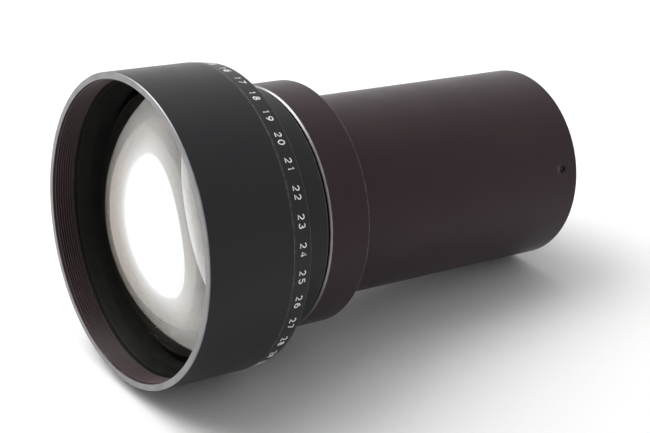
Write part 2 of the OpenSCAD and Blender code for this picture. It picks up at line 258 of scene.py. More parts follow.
def turned_mesh(name, points, finishes, steps):
    """Closed mesh that an outline of (radius, depth, finish, wear) sweeps round the axis."""
    area = sum(a[0] * b[1] - b[0] * a[1] for a, b in zip(points, points[1:] + points[:1]))
    angles = np.linspace(0.0, 2 * math.pi, steps, endpoint=False)
    vertices, wear, rows = [], [], []
    for r, depth, _, worn in points:
        count = steps if r > 0 else 1
        first = len(vertices)
        rows.append([first + k if r > 0 else first for k in range(steps)])
        y = RIM_Y + depth * MM
        vertices.extend((r * MM * math.sin(a), y, r * MM * math.cos(a)) for a in angles[:count])
        wear.extend([worn] * count)
    faces, slots = [], []
    names = [finish.name for finish in finishes]
    for i, row in enumerate(rows):
        other = rows[(i + 1) % len(rows)]
        if points[i][0] == 0 and points[(i + 1) % len(rows)][0] == 0:
            continue
        for k in range(steps):
            ahead = (k + 1) % steps
            loop = [row[k], row[ahead], other[ahead], other[k]]
            loop = list(dict.fromkeys(loop if area > 0 else reversed(loop)))
            faces.append(loop)
            slots.append(names.index(points[i][2].name))
    mesh = bpy.data.meshes.new(name)
    mesh.from_pydata(vertices, [], faces)
    for finish in finishes:
        mesh.materials.append(finish)
    mesh.polygons.foreach_set("material_index", slots)
    mesh.polygons.foreach_set("use_smooth", [True] * len(faces))
    mesh.attributes.new("edge_wear", "FLOAT", "POINT").data.foreach_set("value", wear)
    mesh.set_sharp_from_angle(angle=math.radians(40))
    mesh.validate()
    return mesh


def place_piece(name, mesh, body, slot, *nodes):
    """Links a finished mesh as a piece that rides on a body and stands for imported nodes."""
    piece = bpy.data.objects.new(name, mesh)
    bpy.context.scene.collection.objects.link(piece)
    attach(piece, body)
    if nodes:
        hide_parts(*nodes)


def turned_ring(name, corners):
    """Mesh of a turned metal piece with softened edges."""
    finishes = list(dict.fromkeys(finish for _, _, finish in corners))
    return turned_mesh(name, soften(corners), finishes, TURN_STEPS)


def turned_piece(name, corners, body, slot, node):
    """Turned metal piece with softened edges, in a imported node's place."""
    place_piece(name, turned_ring(name, corners), body, slot, node)


def cut_away(mesh, cutters):
    """Mesh with the cutter meshes taken out of it."""
    work = bpy.data.objects.new("work", mesh)
    bpy.context.scene.collection.objects.link(work)
    tools = []
    for cutter in cutters:
        tool = bpy.data.objects.new("tool", cutter)
        bpy.context.scene.collection.objects.link(tool)
        tools.append(tool)
        hollow = work.modifiers.new("hollow", "BOOLEAN")
        hollow.operation = "DIFFERENCE"
        hollow.solver = "EXACT"
        hollow.material_mode = "TRANSFER"
        hollow.object = tool
    bpy.context.view_layer.update()
    solved = work.evaluated_get(bpy.context.evaluated_depsgraph_get())
    result = bpy.data.meshes.new_from_object(solved)
    result.name = mesh.name
    for spare in [work, *tools]:
        bpy.data.objects.remove(spare)
    return result


def rod_mesh(r, start, end, sides, finish):
    """Closed rod of a radius between two points."""
    along = (end - start).normalized()
    turn = along.to_track_quat("Z", "X").to_matrix()
    circle = [turn @ Vector((r * MM * math.cos(a), r * MM * math.sin(a), 0.0))
              for a in np.linspace(0.0, 2 * math.pi, sides, endpoint=False)]
    vertices = [start + p for p in circle] + [end + p for p in circle]
    faces = [[k, (k + 1) % sides, sides + (k + 1) % sides, sides + k] for k in range(sides)]
    faces += [list(range(sides))[::-1], list(range(sides, 2 * sides))]
    mesh = bpy.data.meshes.new("rod")
    mesh.from_pydata(vertices, [], faces)
    mesh.materials.append(finish)
    return mesh


def bar_mesh(angle, half_length, depths, width, finish):
    """Closed bar across the axis at an angle, between two depths."""
    across = on_axis(1.0, 0.0, angle) - on_axis(0.0, 0.0)
    side = on_axis(1.0, 0.0, angle + 90) - on_axis(0.0, 0.0)
    vertices = [
        on_axis(0.0, depth) + across * (half_length * a) + side * (width / 2 * b)
        for depth in depths for a, b in ((-1, -1), (1, -1), (1, 1), (-1, 1))
    ]
    faces = [[0, 1, 2, 3], [7, 6, 5, 4]] + [[k, k + 4, (k + 1) % 4 + 4, (k + 1) % 4] for k in range(4)]
    mesh = bpy.data.meshes.new("bar")
    mesh.from_pydata(vertices, [], faces)
    mesh.materials.append(finish)
    return mesh


def object_place(tree):
    """Output of the place on the object."""
    return tree.nodes.new("ShaderNodeTexCoord").outputs["Object"]


def new_material(name):
    """Material with its node tree and its Principled shader."""
    material = bpy.data.materials.new(name)
    material.use_nodes = True
    tree = material.node_tree
    return material, tree, tree.nodes["Principled BSDF"]


def feed(tree, source, node, socket):
    """Joins an output socket to a named or numbered input."""
    tree.links.new(source, node.inputs[socket])


def calculate(tree, operation, *values):
    """Output of a math node on sockets or numbers."""
    node = tree.nodes.new("ShaderNodeMath")
    node.operation = operation
    for i, value in enumerate(values):
        if isinstance(value, (int, float)):
            node.inputs[i].default_value = value
        else:
            feed(tree, value, node, i)
    return node.outputs[0]


def spread(tree, value, low, high, new_low, new_high):
    """Output of a map range node, which holds its ends."""
    node = tree.nodes.new("ShaderNodeMapRange")
    feed(tree, value, node, "Value")
    for socket, number in (("From Min", low), ("From Max", high), ("To Min", new_low), ("To Max", new_high)):
        node.inputs[socket].default_value = number
    return node.outputs["Result"]


def blend_colours(tree, factor, first, second):
    """Output of a colour mix of sockets or plain colours."""
    node = tree.nodes.new("ShaderNodeMix")
    node.data_type = "RGBA"
    feed(tree, factor, node, 0)
    for index, colour in ((6, first), (7, second)):
        if isinstance(colour, tuple):
            node.inputs[index].default_value = (*colour, 1.0)
        else:
            feed(tree, colour, node, index)
    return node.outputs[2]


def cloud(tree, place, size, detail=3.0, rough=0.5):
    """Noise whose patches are about a size in millimetres."""
    node = tree.nodes.new("ShaderNodeTexNoise")
    node.inputs["Scale"].default_value = 1.0 / (size * MM)
    node.inputs["Detail"].default_value = detail
    node.inputs["Roughness"].default_value = rough
    feed(tree, place, node, "Vector")
    return node.outputs["Fac"]


def tool_marks(tree, place, size, detail=2.0):
    """Noise that runs round the axis, as a turning tool leaves it, a size apart in millimetres."""
    axes = tree.nodes.new("ShaderNodeSeparateXYZ")
    feed(tree, place, axes, 0)
    across = calculate(tree, "MULTIPLY", axes.outputs["X"], axes.outputs["X"])
    up = calculate(tree, "MULTIPLY", axes.outputs["Z"], axes.outputs["Z"])
    radius = calculate(tree, "SQRT", calculate(tree, "ADD", across, up))
    travel = calculate(tree, "ADD", axes.outputs["Y"], radius)
    node = tree.nodes.new("ShaderNodeTexNoise")
    node.noise_dimensions = "1D"
    node.inputs["Scale"].default_value = 1.0 / (size * MM)
    node.inputs["Detail"].default_value = detail
    feed(tree, travel, node, "W")
    return node.outputs["Fac"]


def patchy_finish(name, grain, first, second):
    """Material whose colour drifts between two tones, with its tree, shader, place and patches."""
    material, tree, shader = new_material(name)
    place = object_place(tree)
    patches = spread(tree, cloud(tree, place, *grain), *PATCH_SPAN, 0.0, 1.0)
    feed(tree, blend_colours(tree, patches, first, second), shader, "Base Color")
    return material, tree, shader, place, patches


def vary_roughness(tree, shader, pattern, low, high):
    """Roughness between two values, as a noise pattern goes."""
    feed(tree, spread(tree, pattern, *NOISE_SPAN, low, high), shader, "Roughness")


def raise_bumps(tree, shader, *layers):
    """Bump nodes in a row, each a height output and its distance in millimetres."""
    last = None
    for height, distance in layers:
        bump = tree.nodes.new("ShaderNodeBump")
        bump.inputs["Strength"].default_value = 1.0
        bump.inputs["Distance"].default_value = distance * MM
        feed(tree, height, bump, "Height")
        if last is not None:
            feed(tree, last, bump, "Normal")
        last = bump.outputs["Normal"]
    feed(tree, last, shader, "Normal")


def anodised(name, colour, aged, roughness, worn, tint=PLAIN_TINT, dust=0.4):
    """Black anodising on turned aluminium: tool marks, faint age, worn edges and a little dust."""
    material, tree, shader = new_material(name)
    place = object_place(tree)
    patches = spread(tree, cloud(tree, place, 22.0), *PATCH_SPAN, 0.0, 1.0)
    body = blend_colours(tree, patches, colour, aged)
    rubbed = cloud(tree, place, 1.6, 4.0, 0.6)
    edge = tree.nodes.new("ShaderNodeAttribute")
    edge.attribute_name = "edge_wear"
    wear = calculate(tree, "MULTIPLY", edge.outputs["Fac"], spread(tree, rubbed, 0.38, 0.62, 0.25, 1.0))
    body = blend_colours(tree, wear, body, worn)
    specks = tree.nodes.new("ShaderNodeTexVoronoi")
    specks.inputs["Scale"].default_value = 1.0 / (SPECK_SPACING * MM)
    feed(tree, place, specks, "Vector")
    speck = spread(tree, specks.outputs["Distance"], 0.03, 0.05, dust, 0.0)
    dusty = spread(tree, cloud(tree, place, 9.0), 0.6, 0.66, 0.0, 1.0)
    speck = calculate(tree, "MULTIPLY", speck, dusty)
    feed(tree, blend_colours(tree, speck, body, DUST_COLOUR), shader, "Base Color")
    handled = spread(tree, cloud(tree, place, 14.0, 5.0, 0.65), *NOISE_SPAN, -HANDLED, HANDLED)
    turned = spread(tree, tool_marks(tree, place, 0.9), *NOISE_SPAN, roughness - TURNED, roughness + TURNED)
    sheen = calculate(tree, "ADD", handled, turned)
    dulled = calculate(tree, "ADD", sheen, calculate(tree, "MULTIPLY", speck, 0.4))
    feed(tree, dulled, shader, "Roughness")
    shader.inputs["Specular IOR Level"].default_value = SATIN_SHINE
    shader.inputs["Specular Tint"].default_value = tint
    raise_bumps(tree, shader, (cloud(tree, place, 0.6, 3.0), 0.0014), (tool_marks(tree, place, 0.3), 0.0011))
    return material


def hood_anodising():
    """Neutral satin black of the hood and the neck."""
    return anodised("hood_anodising", (0.0085, 0.0088, 0.0105), (0.0100, 0.0103, 0.0118), 0.36,
                    (0.11, 0.11, 0.115))


def brown_anodising():
    """Black of the collar and the barrel, aged to a purple brown."""
    return anodised("brown_anodising", (0.0165, 0.0082, 0.0102), (0.0205, 0.0100, 0.0125), 0.36,
                    (0.12, 0.105, 0.1), tint=(1.0, 0.84, 0.88, 1.0))


def band_anodising():
    """Deeper black of the numbered band."""
    return anodised("band_anodising", (0.0065, 0.0065, 0.0080), (0.0080, 0.0080, 0.0095), 0.34,
                    (0.07, 0.07, 0.072))


def thread_anodising():
    """Mauve brown of the hood's thread."""
    return anodised("thread_anodising", (0.052, 0.034, 0.036), (0.064, 0.042, 0.044), 0.33,
                    (0.16, 0.13, 0.13), dust=0.2)


def rim_face():
    """Bright turned face of the front rim."""
    material, tree, shader, place, _ = patchy_finish(
        "rim_face", (7.0,), (0.21, 0.205, 0.21), (0.26, 0.255, 0.26))
    shader.inputs["Metallic"].default_value = 1.0
    vary_roughness(tree, shader, tool_marks(tree, place, 0.12), 0.30, 0.40)
    raise_bumps(tree, shader, (tool_marks(tree, place, 0.1), 0.002))
    return material


def matt_black():
    """Matt black of the inner rings and cells."""
    material, tree, shader, place, _ = patchy_finish(
        "matt_black", (6.0,), (0.008, 0.008, 0.0075), (0.012, 0.012, 0.011))
    vary_roughness(tree, shader, tool_marks(tree, place, 0.5), 0.55, 0.68)
    shader.inputs["Specular IOR Level"].default_value = INNER_SHINE
    raise_bumps(tree, shader, (cloud(tree, place, 0.12, 2.0), 0.002), (tool_marks(tree, place, 0.35), 0.003))
    return material


def ring_black():
    """Smooth greenish black of the front retaining ring."""
    material, tree, shader, place, _ = patchy_finish(
        "ring_black", (9.0,), (0.0085, 0.0088, 0.0065), (0.0115, 0.0118, 0.0088))
    vary_roughness(tree, shader, tool_marks(tree, place, 0.6), 0.34, 0.42)
    shader.inputs["Specular IOR Level"].default_value = INNER_SHINE
    raise_bumps(tree, shader, (tool_marks(tree, place, 0.25), 0.001))
    return material


def blackened_brass():
    """Dark brass of the shim in the parting groove."""
    material, tree, shader, place, _ = patchy_finish(
        "blackened_brass", (3.0,), (0.010, 0.008, 0.006), (0.022, 0.016, 0.010))
    shader.inputs["Metallic"].default_value = 0.4
    vary_roughness(tree, shader, tool_marks(tree, place, 0.4), 0.4, 0.55)
    raise_bumps(tree, shader, (tool_marks(tree, place, 0.2), 0.001))
    return material


def screw_steel():
    """Darkened steel of the set screws."""
    material, tree, shader, place, _ = patchy_finish(
        "screw_steel", (0.8,), (0.035, 0.034, 0.034), (0.08, 0.076, 0.072))
    shader.inputs["Metallic"].default_value = 0.9
    vary_roughness(tree, shader, cloud(tree, place, 0.3), 0.35, 0.5)
    raise_bumps(tree, shader, (cloud(tree, place, 0.15), 0.004))
    return material


def number_paint():
    """White paint in the engraved numbers."""
    material, tree, shader, place, patches = patchy_finish(
        "number_paint", (0.6, 4.0, 0.6), (0.78, 0.78, 0.76), (0.88, 0.88, 0.86))
    feed(tree, spread(tree, patches, 0.0, 1.0, 0.5, 0.65), shader, "Roughness")
    raise_bumps(tree, shader, (cloud(tree, place, 0.15), 0.01))
    return material


def lens_glass(name, index, smudge):
    """Polished optical glass under a single thin coating."""
    material, tree, shader = new_material(name)
    smear = spread(tree, cloud(tree, object_place(tree), 12.0, 5.0, 0.6), 0.45, 0.75, 0.0, smudge)
    feed(tree, smear, shader, "Roughness")
    shader.inputs["Base Color"].default_value = (0.985, 0.988, 0.98, 1.0)
    shader.inputs["Transmission Weight"].default_value = 1.0
    shader.inputs["IOR"].default_value = index
    shader.inputs["Thin Film Thickness"].default_value = COATING_NM
    shader.inputs["Thin Film IOR"].default_value = COATING_INDEX
    return material


def edge_paint():
    """Black paint on the ground edges of the glasses."""
    material, tree, shader, _, patches = patchy_finish(
        "edge_paint", (2.0,), (0.006, 0.006, 0.006), (0.012, 0.011, 0.010))
    feed(tree, spread(tree, patches, 0.0, 1.0, 0.7, 0.85), shader, "Roughness")
    shader.inputs["Specular IOR Level"].default_value = 0.0
    return material


def lens_cement():
    """Clear cement between two glasses, which bends no light here."""
    material, tree, shader = new_material("lens_cement")
    clear = tree.nodes.new("ShaderNodeBsdfTransparent")
    clear.inputs["Color"].default_value = (0.995, 0.99, 0.98, 1.0)
    feed(tree, clear.outputs[0], tree.nodes["Material Output"], "Surface")
    tree.nodes.remove(shader)
    return material


def node_group(name, inputs):
    """Empty geometry tree with named inputs and one mesh output."""
    tree = bpy.data.node_groups.new(name, "GeometryNodeTree")
    for label, kind in inputs:
        tree.interface.new_socket(label, in_out="INPUT", socket_type=kind)
    tree.interface.new_socket("Mesh", in_out="OUTPUT", socket_type="NodeSocketGeometry")
    return tree, tree.nodes.new("NodeGroupInput"), tree.nodes.new("NodeGroupOutput")


def close_group(tree, start, end, geometry):
    """Ends a tree in real meshes with its material."""
    real = tree.nodes.new("GeometryNodeRealizeInstances")
    feed(tree, geometry, real, 0)
    paint = tree.nodes.new("GeometryNodeSetMaterial")
    feed(tree, real.outputs[0], paint, "Geometry")
    feed(tree, start.outputs["Finish"], paint, "Material")
    feed(tree, paint.outputs[0], end, 0)


def grown_mesh(name, tree, values, source=None):
    """Plain mesh that a geometry tree makes from named values."""
    grower = bpy.data.objects.new(name, source or bpy.data.meshes.new(name))
    bpy.context.scene.collection.objects.link(grower)
    modifier = grower.modifiers.new("grow", "NODES")
    modifier.node_group = tree
    for item in tree.interface.items_tree:
        if item.in_out == "INPUT" and item.name in values:
            modifier[item.identifier] = values[item.name]
    bpy.context.view_layer.update()
    solved = grower.evaluated_get(bpy.context.evaluated_depsgraph_get())
    mesh = bpy.data.meshes.new_from_object(solved)
    mesh.name = name
    grower.modifiers.remove(modifier)
    bpy.data.objects.remove(grower)
    return mesh


def thread_group():
    """Tree of a screw thread: one ridge that winds along the axis."""
    tree, start, end = node_group("thread_turns", [
        ("Radius", "NodeSocketFloat"), ("Pitch", "NodeSocketFloat"), ("Turns", "NodeSocketFloat"),
        ("Height", "NodeSocketFloat"), ("Root Width", "NodeSocketFloat"), ("Crest Width", "NodeSocketFloat"),
        ("Steps per Turn", "NodeSocketInt"), ("Front", "NodeSocketFloat"), ("Finish", "NodeSocketMaterial"),
    ])
    path = tree.nodes.new("GeometryNodeCurveSpiral")
    feed(tree, start.outputs["Steps per Turn"], path, "Resolution")
    feed(tree, start.outputs["Turns"], path, "Rotations")
    feed(tree, start.outputs["Radius"], path, "Start Radius")
    feed(tree, start.outputs["Radius"], path, "End Radius")
    rise = calculate(tree, "MULTIPLY", start.outputs["Pitch"], start.outputs["Turns"])
    feed(tree, rise, path, "Height")
    upright = tree.nodes.new("GeometryNodeSetCurveNormal")
    upright.mode = "Z_UP"
    feed(tree, path.outputs[0], upright, "Curve")
    profile = tree.nodes.new("GeometryNodeCurvePrimitiveQuadrilateral")
    profile.mode = "TRAPEZOID"
    profile.inputs["Offset"].default_value = 0.0
    feed(tree, start.outputs["Root Width"], profile, "Bottom Width")
    feed(tree, start.outputs["Crest Width"], profile, "Top Width")
    feed(tree, start.outputs["Height"], profile, "Height")
    sweep = tree.nodes.new("GeometryNodeCurveToMesh")
    sweep.inputs["Fill Caps"].default_value = True
    feed(tree, upright.outputs[0], sweep, "Curve")
    quarter = tree.nodes.new("GeometryNodeTransform")
    quarter.inputs["Rotation"].default_value = (0.0, 0.0, -math.pi / 2)
    feed(tree, profile.outputs[0], quarter, "Geometry")
    feed(tree, quarter.outputs[0], sweep, "Profile Curve")
    lay = tree.nodes.new("GeometryNodeTransform")
    lay.inputs["Rotation"].default_value = (-math.pi / 2, 0.0, 0.0)
    shift = tree.nodes.new("ShaderNodeCombineXYZ")
    feed(tree, start.outputs["Front"], shift, "Y")
    feed(tree, shift.outputs[0], lay, "Translation")
    feed(tree, sweep.outputs[0], lay, "Geometry")
    close_group(tree, start, end, lay.outputs[0])
    return tree


def stroke_group():
    """Tree of filled engraving: a round cutter's stroke along every line."""
    tree, start, end = node_group("engraved_strokes", [
        ("Lines", "NodeSocketGeometry"), ("Stroke Radius", "NodeSocketFloat"),
        ("Finish", "NodeSocketMaterial"),
    ])
    lines = tree.nodes.new("GeometryNodeMeshToCurve")
    feed(tree, start.outputs["Lines"], lines, "Mesh")
    tip = tree.nodes.new("GeometryNodeCurvePrimitiveCircle")
    tip.inputs["Resolution"].default_value = 8
    feed(tree, start.outputs["Stroke Radius"], tip, "Radius")
    sweep = tree.nodes.new("GeometryNodeCurveToMesh")
    sweep.inputs["Fill Caps"].default_value = True
    feed(tree, lines.outputs[0], sweep, "Curve")
    feed(tree, tip.outputs[0], sweep, "Profile Curve")
    close_group(tree, start, end, sweep.outputs[0])
    return tree


def round_group():
    """Tree of equal fasteners set radially round the axis."""
    tree, start, end = node_group("set_round_axis", [
        ("Fastener", "NodeSocketGeometry"), ("Count", "NodeSocketInt"), ("First Angle", "NodeSocketFloat"),
        ("Finish", "NodeSocketMaterial"),
    ])
    spots = tree.nodes.new("GeometryNodeMeshLine")
    spots.inputs["Offset"].default_value = (0.0, 0.0, 0.0)
    feed(tree, start.outputs["Count"], spots, "Count")
    number = tree.nodes.new("GeometryNodeInputIndex").outputs[0]
    share = calculate(tree, "DIVIDE", number, start.outputs["Count"])
    turn = calculate(tree, "MULTIPLY_ADD", share, 2 * math.pi, start.outputs["First Angle"])
    spin = tree.nodes.new("ShaderNodeCombineXYZ")
    feed(tree, turn, spin, "Y")
    setting = tree.nodes.new("GeometryNodeInstanceOnPoints")
    feed(tree, spots.outputs[0], setting, "Points")
    feed(tree, start.outputs["Fastener"], setting, "Instance")
    feed(tree, spin.outputs[0], setting, "Rotation")
    close_group(tree, start, end, setting.outputs[0])
    return tree


def arc_points(centre, radii, first, last, steps=14):
    """Points of an arc between two angles in degrees, in shares of a digit's height."""
    turns = [math.radians(first + (last - first) * k / steps) for k in range(steps + 1)]
    return [(centre[0] + radii[0] * math.cos(t), centre[1] + radii[1] * math.sin(t)) for t in turns]


def digit_strokes():
    """Strokes of the ten digits, in shares of their height."""
    hook = [(0.0, 0.31), (0.01, 0.52), (0.09, 0.74), (0.25, 0.91), (0.48, 1.0)]
    six = [arc_points((0.31, 0.31), (0.31, 0.31), 0, 360, 24), hook]
    return {
        "0": [arc_points((0.31, 0.5), (0.31, 0.5), 0, 360, 28)],
        "1": [[(0.12, 0.80), (0.34, 1.0), (0.34, 0.0)]],
        "2": [arc_points((0.31, 0.71), (0.29, 0.29), 165, -35) + [(0.0, 0.0), (0.62, 0.0)]],
        "3": [
            arc_points((0.29, 0.76), (0.25, 0.24), 150, -90),
            arc_points((0.29, 0.26), (0.30, 0.26), 90, -155),
        ],
        "4": [[(0.47, 0.0), (0.47, 1.0), (0.0, 0.28), (0.62, 0.28)]],
        "5": [[(0.56, 1.0), (0.10, 1.0), (0.07, 0.56)] + arc_points((0.29, 0.32), (0.32, 0.32), 130, -150)],
        "6": six,
        "7": [[(0.0, 1.0), (0.62, 1.0), (0.20, 0.0)]],
        "8": [
            arc_points((0.31, 0.76), (0.24, 0.24), 0, 360, 20),
            arc_points((0.31, 0.26), (0.30, 0.26), 0, 360, 24),
        ],
        "9": [[(0.62 - x, 1.0 - y) for x, y in stroke] for stroke in six],
    }


def band_number_lines(band_front, band_rear):
    """Line mesh of the band's numbers, laid just below its tapered face."""
    strokes = digit_strokes()
    vertices, edges = [], []
    middle = (band_front + band_rear) / 2
    for k in range(NUMBER_COUNT):
        label = str(k + 1)
        centre = (k + 1 - NUMBER_AT_TOP) * 360.0 / NUMBER_COUNT
        for place, digit in enumerate(label):
            shift = (place - (len(label) - 1) / 2) * DIGIT_PITCH
            for stroke in strokes[digit]:
                first = len(vertices)
                for x, y in stroke:
                    depth = middle + (y - 0.5) * DIGIT_HEIGHT
                    share = (depth - band_front) / (band_rear - band_front)
                    r = BAND_FRONT_R + share * (BAND_REAR_R - BAND_FRONT_R) - STROKE_SINK
                    along = (x - DIGIT_WIDTH_SHARE / 2) * DIGIT_HEIGHT
                    vertices.append(on_axis(r, depth, centre + shift + math.degrees(along / BAND_FRONT_R)))
                edges += [(first + i, first + i + 1) for i in range(len(stroke) - 1)]
    mesh = bpy.data.meshes.new("band_number_lines")
    mesh.from_pydata(vertices, edges, [])
    return mesh


def glass_curve(pole, curve, edge_r, finish, outward=True):
    """Outline of a polished face from pole to edge; its curve is negative where it bulges to the rear."""
    side = 1 if curve > 0 else -1
    radii = [edge_r * math.sin(math.pi / 2 * k / GLASS_RINGS) for k in range(GLASS_RINGS + 1)]
    points = [(r, pole + side * sag(abs(curve), r), finish, 0.0) for r in radii]
    return points if outward else points[::-1]


def place_glass(name, faces, finishes, body, node):
    """One glass, closed from the outlines of its front, its edge and its rear."""
    points = [point for face in faces for point in face]
    kept = points[:1]
    for last, point in zip(points, points[1:]):
        if (Vector(point[:2]) - Vector(last[:2])).length > SAME_PLACE:
            kept.append(point)
    place_piece(name, turned_mesh(name, kept, finishes, GLASS_STEPS), body, "coated_glass", node)


def make_front_glass(finish, paint):
    """Thick front glass, convex to the front and hollow behind."""
    front, rear = extent("front_element")
    back_pole = front + FRONT_THICKNESS
    edge = front + sag(FRONT_CURVE, FRONT_GLASS_R)
    faces = [
        glass_curve(front, FRONT_CURVE, FRONT_GLASS_R, finish),
        [(FRONT_GLASS_R, edge, paint, 0.0), (FRONT_GLASS_R, rear, paint, 0.0)],
        [(HOOD_LIP_R, rear, finish, 0.0)],
        glass_curve(back_pole, FRONT_BACK_CURVE, HOOD_LIP_R, finish, outward=False),
    ]
    place_glass("front_glass", faces, [finish, paint], "front_unit", "front_element")


def make_front_doublet(crown_finish, flint_finish, paint, cement):
    """Crown and flint of the front unit, with their cemented faces."""
    front, plane = extent("crown_element_front")
    _, rim = extent("flint_element_front")
    edge = front + sag(CROWN_FRONT_CURVE, CROWN_FRONT_R)
    crown = [
        glass_curve(front, CROWN_FRONT_CURVE, CROWN_FRONT_R, crown_finish),
        [(CROWN_FRONT_R, edge, paint, 0.0), (CROWN_FRONT_R, plane, paint, 0.0)],
        [(FLINT_FRONT_R, plane, cement, 0.0)],
        [(0.0, plane, cement, 0.0)],
    ]
    place_glass("front_crown_glass", crown, [crown_finish, paint, cement],
                "front_unit", "crown_element_front")
    hollow_pole = plane + FLINT_FRONT_THICKNESS
    depth = rim - hollow_pole
    hollow_r = math.sqrt(depth * (2 * FLINT_FRONT_CURVE - depth))
    flint = [
        [(0.0, plane, cement, 0.0), (FLINT_FRONT_R, plane, paint, 0.0), (FLINT_FRONT_R, rim, paint, 0.0)],
        glass_curve(hollow_pole, FLINT_FRONT_CURVE, hollow_r, flint_finish, outward=False),
    ]
    place_glass("front_flint_glass", flint, [flint_finish, paint, cement],
                "front_unit", "flint_element_front")


def make_rear_doublet(crown_finish, flint_finish, paint, cement):
    """Flint and crown behind the stop, with their cemented faces."""
    seat, plane = extent("flint_element_rear")
    _, rear = extent("crown_element_rear")
    hollow_pole = plane - FLINT_REAR_THICKNESS
    flint = [
        glass_curve(hollow_pole, -FLINT_REAR_CURVE, REAR_CLEAR_R, flint_finish),
        [(REAR_CLEAR_R, seat, paint, 0.0), (REAR_GLASS_R, seat, paint, 0.0)],
        [(REAR_GLASS_R, plane, cement, 0.0)],
        [(0.0, plane, cement, 0.0)],
    ]
    place_glass("rear_flint_glass", flint, [flint_finish, paint, cement], "barrel", "flint_element_rear")
    edge = rear - sag(CROWN_REAR_CURVE, REAR_GLASS_R)
    crown = [
        [(0.0, plane, cement, 0.0), (REAR_GLASS_R, plane, paint, 0.0)],
        [(REAR_GLASS_R, edge, crown_finish, 0.0)],
        glass_curve(rear, -CROWN_REAR_CURVE, REAR_GLASS_R, crown_finish, outward=False),
    ]
    place_glass("rear_crown_glass", crown, [crown_finish, paint, cement], "barrel", "crown_element_rear")


def make_rear_glass(finish, paint):
    """Last glass, convex on both sides."""
    front, rear = extent("rear_element")
    edge_front = front + sag(REAR_FRONT_CURVE, REAR_GLASS_R)
    faces = [
        glass_curve(front, REAR_FRONT_CURVE, REAR_GLASS_R, finish),
        [(REAR_GLASS_R, edge_front, paint, 0.0)],
        glass_curve(rear, -REAR_BACK_CURVE, REAR_GLASS_R, finish, outward=False),
    ]
    place_glass("rear_glass", faces, [finish, paint], "barrel", "rear_element")


def make_hood(outside, rim, thread, inside):
    """Hood with its bright rim, thread, relief groove, glass seat and rear socket."""
    front, rear = extent("hood")
    ring_front, ring_rear = extent("front_retaining_ring")
    _, lip = extent("front_element")
    cell, _ = extent("front_cell")
    relief = ring_front - RELIEF_W
    corners = [
        (THREAD_ROOT_R, front, rim), (HOOD_R - HOOD_CHAMFER, front, rim),
        (HOOD_R, front + HOOD_CHAMFER, outside),
        (HOOD_R, rear - HOOD_CHAMFER, outside), (HOOD_R - HOOD_CHAMFER, rear, outside),
        (HOOD_SOCKET_R, rear, inside), (HOOD_SOCKET_R, cell, inside), (HOOD_LIP_R, cell, inside),
        (HOOD_LIP_R, lip, inside), (GLASS_SEAT_R, lip, inside), (GLASS_SEAT_R, ring_rear, inside),
        (THREAD_CREST_R, ring_rear, inside), (THREAD_CREST_R, ring_front, inside),
        (RELIEF_R, ring_front, inside),
        (RELIEF_R, relief, inside), (THREAD_ROOT_R, relief, thread),
    ]
    turned_piece("hood_shell", corners, "front_unit", "satin_black", "hood")


def make_thread(name, body, slot, finish, root_r, crest_r, pitch, front, rear):
    """Real turns of a screw thread between two depths."""
    height = abs(crest_r - root_r)
    inward = crest_r < root_r
    turns = (rear - front - pitch) / pitch
    mesh = grown_mesh(name, thread_turns, {
        "Radius": (root_r + crest_r) / 2 * MM,
        "Pitch": pitch * MM,
        "Turns": turns,
        "Height": height * MM if inward else -height * MM,
        "Root Width": THREAD_ROOT_SHARE * pitch * MM,
        "Crest Width": THREAD_CREST_SHARE * pitch * MM,
        "Steps per Turn": THREAD_STEPS,
        "Front": RIM_Y + (front + pitch / 2) * MM,
        "Finish": finish,
    })
    place_piece(name, mesh, body, slot)


def make_front_ring(finish, inner):
    """Ring that holds the front glass, with its two spanner slots."""
    front, rear = extent("front_retaining_ring")
    ring_r = THREAD_CREST_R - FIT_GAP
    corners = [
        (FRONT_RING_MOUTH_R, front, finish), (ring_r, front, finish), (ring_r, rear, finish),
        (FRONT_RING_CLEAR_R, rear, inner), (FRONT_RING_CLEAR_R, front + FRONT_RING_MOUTH, finish),
    ]
    slot = bar_mesh(FRONT_SLOT_ANGLE, HOOD_R, (front - SLOT_DEPTH, front + SLOT_DEPTH), SLOT_W, finish)
    mesh = cut_away(turned_ring("front_ring", corners), [slot])
    place_piece("front_ring", mesh, "front_unit", "deep_black", "front_retaining_ring")


def make_band(finish):
    """Tapered band between the hood and the neck."""
    front, rear = extent("marking_ring")
    inner_r = NECK_R + FIT_GAP
    corners = [
        (BAND_SEAT_R, front, finish), (BAND_FRONT_R, front, finish), (BAND_REAR_R, rear, finish),
        (inner_r, rear, finish), (inner_r, rear - BAND_BACK, finish),
        (BAND_SEAT_R, rear - BAND_BACK, finish),
    ]
    turned_piece("numbered_band", corners, "front_unit", "band_black", "marking_ring")


def make_band_numbers(paint):
    """White filled numbers round the band."""
    front, rear = extent("marking_ring")
    lines = band_number_lines(front, rear)
    values = {"Stroke Radius": STROKE_R * MM, "Finish": paint}
    mesh = grown_mesh("band_numbers", stroke_group(), values, lines)
    place_piece("band_numbers", mesh, "front_unit", "band_black")


